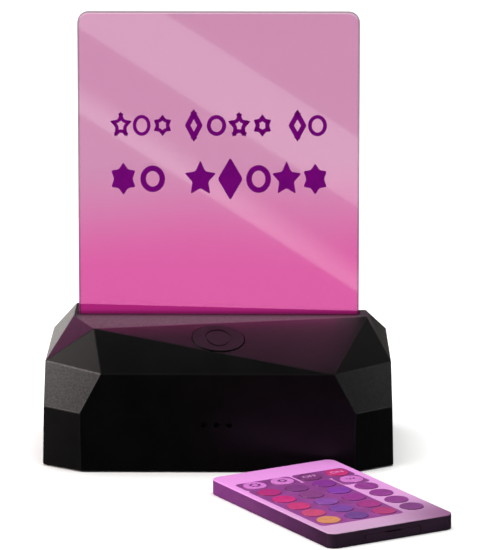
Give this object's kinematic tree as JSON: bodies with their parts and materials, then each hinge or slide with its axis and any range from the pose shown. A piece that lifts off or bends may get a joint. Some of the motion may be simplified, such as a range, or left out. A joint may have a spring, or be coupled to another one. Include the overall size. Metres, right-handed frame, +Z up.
{
  "type": "edge-lit sign",
  "caption": "Clear rounded panel standing in a slot of a faceted black battery base with an oval button, lit from its lower edge, beside a thin card remote control.",
  "frame": {"origin": "on the desk under the centre of the base's footprint", "axes": "+Z up, -Y towards the viewer (the side with the button), +X to the viewer's right"},
  "size_m": [0.1494, 0.1771, 0.1655],
  "materials": {
    "black_abs": "fine textured black ABS",
    "button_abs": "smooth satin black ABS",
    "lit_acrylic": "clear cast acrylic, polished",
    "foot_rubber": "matt rubber",
    "screw_steel": "zinc plated steel",
    "white_abs": "white ABS",
    "white_board": "white solder mask on glass-fibre board",
    "green_board": "green solder mask on glass-fibre board",
    "lamp_lens": "white lamp body with clear resin",
    "chip_epoxy": "moulded black epoxy",
    "capacitor_can": "sleeved aluminium can",
    "connector_nylon": "cream nylon",
    "socket_steel": "drawn steel shell",
    "dark_lens": "infrared-pass dark plastic",
    "cell_can": "metal can in a shrink sleeve",
    "wire_sleeve": "insulated wire",
    "remote_case": "satin white plastic in magenta light",
    "remote_overlay": "printed polyester overlay in magenta light",
    "dome_steel": "stainless steel",
    "emitter_lens": "clear epoxy",
    "contact_brass": "plated brass",
    "key_brighter": "printed key cap",
    "key_dimmer": "printed key cap",
    "key_off": "printed key cap",
    "key_on": "printed key cap",
    "key_red": "printed key cap",
    "key_green": "printed key cap",
    "key_blue": "printed key cap",
    "key_white": "printed key cap",
    "key_vermilion": "printed key cap",
    "key_lime": "printed key cap",
    "key_azure": "printed key cap",
    "key_flash": "printed key cap",
    "key_orange": "printed key cap",
    "key_cyan": "printed key cap",
    "key_indigo": "printed key cap",
    "key_strobe": "printed key cap",
    "key_amber": "printed key cap",
    "key_teal": "printed key cap",
    "key_violet": "printed key cap",
    "key_fade": "printed key cap",
    "key_yellow": "printed key cap",
    "key_navy": "printed key cap",
    "key_pink": "printed key cap",
    "key_smooth": "printed key cap"
  },
  "bodies": {
    "root": {"base_shell": "black_abs", "bottom_cover": "black_abs", "cover_screws": "screw_steel", "rubber_feet": "foot_rubber", "light_carrier": "white_abs", "carrier_screws": "screw_steel", "led_board": "white_board", "rgb_leds": "lamp_lens", "main_board": "green_board", "board_screws": "screw_steel", "controller_chip": "chip_epoxy", "capacitor": "capacitor_can", "connectors": "connector_nylon", "usb_socket": "socket_steel", "ir_receiver": "dark_lens", "receiver_window": "dark_lens", "battery_cell": "cell_can", "battery_saddle": "black_abs", "button_board": "green_board", "button_switch": "chip_epoxy", "led_lead": "wire_sleeve", "button_lead": "wire_sleeve", "battery_lead": "wire_sleeve"},
    "panel": {"acrylic_panel": "lit_acrylic"},
    "button": {"mode_button": "button_abs", "switch_plunger": "connector_nylon"},
    "remote": {"remote_back": "remote_case", "remote_face": "remote_overlay", "remote_board": "green_board", "snap_domes": "dome_steel", "remote_chip": "chip_epoxy", "ir_emitter": "emitter_lens", "battery_contacts": "contact_brass"},
    "tray": {"battery_tray": "remote_case", "coin_cell": "dome_steel"},
    "key_brighter": {"key_brighter": "key_brighter"},
    "key_dimmer": {"key_dimmer": "key_dimmer"},
    "key_off": {"key_off": "key_off"},
    "key_on": {"key_on": "key_on"},
    "key_red": {"key_red": "key_red"},
    "key_green": {"key_green": "key_green"},
    "key_blue": {"key_blue": "key_blue"},
    "key_white": {"key_white": "key_white"},
    "key_vermilion": {"key_vermilion": "key_vermilion"},
    "key_lime": {"key_lime": "key_lime"},
    "key_azure": {"key_azure": "key_azure"},
    "key_flash": {"key_flash": "key_flash"},
    "key_orange": {"key_orange": "key_orange"},
    "key_cyan": {"key_cyan": "key_cyan"},
    "key_indigo": {"key_indigo": "key_indigo"},
    "key_strobe": {"key_strobe": "key_strobe"},
    "key_amber": {"key_amber": "key_amber"},
    "key_teal": {"key_teal": "key_teal"},
    "key_violet": {"key_violet": "key_violet"},
    "key_fade": {"key_fade": "key_fade"},
    "key_yellow": {"key_yellow": "key_yellow"},
    "key_navy": {"key_navy": "key_navy"},
    "key_pink": {"key_pink": "key_pink"},
    "key_smooth": {"key_smooth": "key_smooth"}
  },
  "joints": [
    {"name": "panel_lift", "type": "slide", "parent": "root", "child": "panel", "axis": [0, 0, 1], "range_m": [0, 0.03]},
    {"name": "button_press", "type": "slide", "parent": "root", "child": "button", "axis": [-0.0801, 0.4236, -0.9023], "range_m": [0, 0.0005], "stiffness_N_per_m": 500, "springref_m": -0.001},
    {"name": "remote_lift", "type": "slide", "parent": "root", "child": "remote", "axis": [0, 0, 1], "range_m": [0, 0.03]},
    {"name": "tray_pull", "type": "slide", "parent": "remote", "child": "tray", "axis": [0.515, -0.8572, 0], "range_m": [0, 0.026]},
    {"name": "key_brighter_press", "type": "slide", "parent": "remote", "child": "key_brighter", "axis": [0, 0, -1], "range_m": [0, 0.00025], "stiffness_N_per_m": 400, "springref_m": -0.0005},
    {"name": "key_dimmer_press", "type": "slide", "parent": "remote", "child": "key_dimmer", "axis": [0, 0, -1], "range_m": [0, 0.00025], "stiffness_N_per_m": 400, "springref_m": -0.0005},
    {"name": "key_off_press", "type": "slide", "parent": "remote", "child": "key_off", "axis": [0, 0, -1], "range_m": [0, 0.00025], "stiffness_N_per_m": 400, "springref_m": -0.0005},
    {"name": "key_on_press", "type": "slide", "parent": "remote", "child": "key_on", "axis": [0, 0, -1], "range_m": [0, 0.00025], "stiffness_N_per_m": 400, "springref_m": -0.0005},
    {"name": "key_red_press", "type": "slide", "parent": "remote", "child": "key_red", "axis": [0, 0, -1], "range_m": [0, 0.00025], "stiffness_N_per_m": 400, "springref_m": -0.0005},
    {"name": "key_green_press", "type": "slide", "parent": "remote", "child": "key_green", "axis": [0, 0, -1], "range_m": [0, 0.00025], "stiffness_N_per_m": 400, "springref_m": -0.0005},
    {"name": "key_blue_press", "type": "slide", "parent": "remote", "child": "key_blue", "axis": [0, 0, -1], "range_m": [0, 0.00025], "stiffness_N_per_m": 400, "springref_m": -0.0005},
    {"name": "key_white_press", "type": "slide", "parent": "remote", "child": "key_white", "axis": [0, 0, -1], "range_m": [0, 0.00025], "stiffness_N_per_m": 400, "springref_m": -0.0005},
    {"name": "key_vermilion_press", "type": "slide", "parent": "remote", "child": "key_vermilion", "axis": [0, 0, -1], "range_m": [0, 0.00025], "stiffness_N_per_m": 400, "springref_m": -0.0005},
    {"name": "key_lime_press", "type": "slide", "parent": "remote", "child": "key_lime", "axis": [0, 0, -1], "range_m": [0, 0.00025], "stiffness_N_per_m": 400, "springref_m": -0.0005},
    {"name": "key_azure_press", "type": "slide", "parent": "remote", "child": "key_azure", "axis": [0, 0, -1], "range_m": [0, 0.00025], "stiffness_N_per_m": 400, "springref_m": -0.0005},
    {"name": "key_flash_press", "type": "slide", "parent": "remote", "child": "key_flash", "axis": [0, 0, -1], "range_m": [0, 0.00025], "stiffness_N_per_m": 400, "springref_m": -0.0005},
    {"name": "key_orange_press", "type": "slide", "parent": "remote", "child": "key_orange", "axis": [0, 0, -1], "range_m": [0, 0.00025], "stiffness_N_per_m": 400, "springref_m": -0.0005},
    {"name": "key_cyan_press", "type": "slide", "parent": "remote", "child": "key_cyan", "axis": [0, 0, -1], "range_m": [0, 0.00025], "stiffness_N_per_m": 400, "springref_m": -0.0005},
    {"name": "key_indigo_press", "type": "slide", "parent": "remote", "child": "key_indigo", "axis": [0, 0, -1], "range_m": [0, 0.00025], "stiffness_N_per_m": 400, "springref_m": -0.0005},
    {"name": "key_strobe_press", "type": "slide", "parent": "remote", "child": "key_strobe", "axis": [0, 0, -1], "range_m": [0, 0.00025], "stiffness_N_per_m": 400, "springref_m": -0.0005},
    {"name": "key_amber_press", "type": "slide", "parent": "remote", "child": "key_amber", "axis": [0, 0, -1], "range_m": [0, 0.00025], "stiffness_N_per_m": 400, "springref_m": -0.0005},
    {"name": "key_teal_press", "type": "slide", "parent": "remote", "child": "key_teal", "axis": [0, 0, -1], "range_m": [0, 0.00025], "stiffness_N_per_m": 400, "springref_m": -0.0005},
    {"name": "key_violet_press", "type": "slide", "parent": "remote", "child": "key_violet", "axis": [0, 0, -1], "range_m": [0, 0.00025], "stiffness_N_per_m": 400, "springref_m": -0.0005},
    {"name": "key_fade_press", "type": "slide", "parent": "remote", "child": "key_fade", "axis": [0, 0, -1], "range_m": [0, 0.00025], "stiffness_N_per_m": 400, "springref_m": -0.0005},
    {"name": "key_yellow_press", "type": "slide", "parent": "remote", "child": "key_yellow", "axis": [0, 0, -1], "range_m": [0, 0.00025], "stiffness_N_per_m": 400, "springref_m": -0.0005},
    {"name": "key_navy_press", "type": "slide", "parent": "remote", "child": "key_navy", "axis": [0, 0, -1], "range_m": [0, 0.00025], "stiffness_N_per_m": 400, "springref_m": -0.0005},
    {"name": "key_pink_press", "type": "slide", "parent": "remote", "child": "key_pink", "axis": [0, 0, -1], "range_m": [0, 0.00025], "stiffness_N_per_m": 400, "springref_m": -0.0005},
    {"name": "key_smooth_press", "type": "slide", "parent": "remote", "child": "key_smooth", "axis": [0, 0, -1], "range_m": [0, 0.00025], "stiffness_N_per_m": 400, "springref_m": -0.0005}
  ]
}
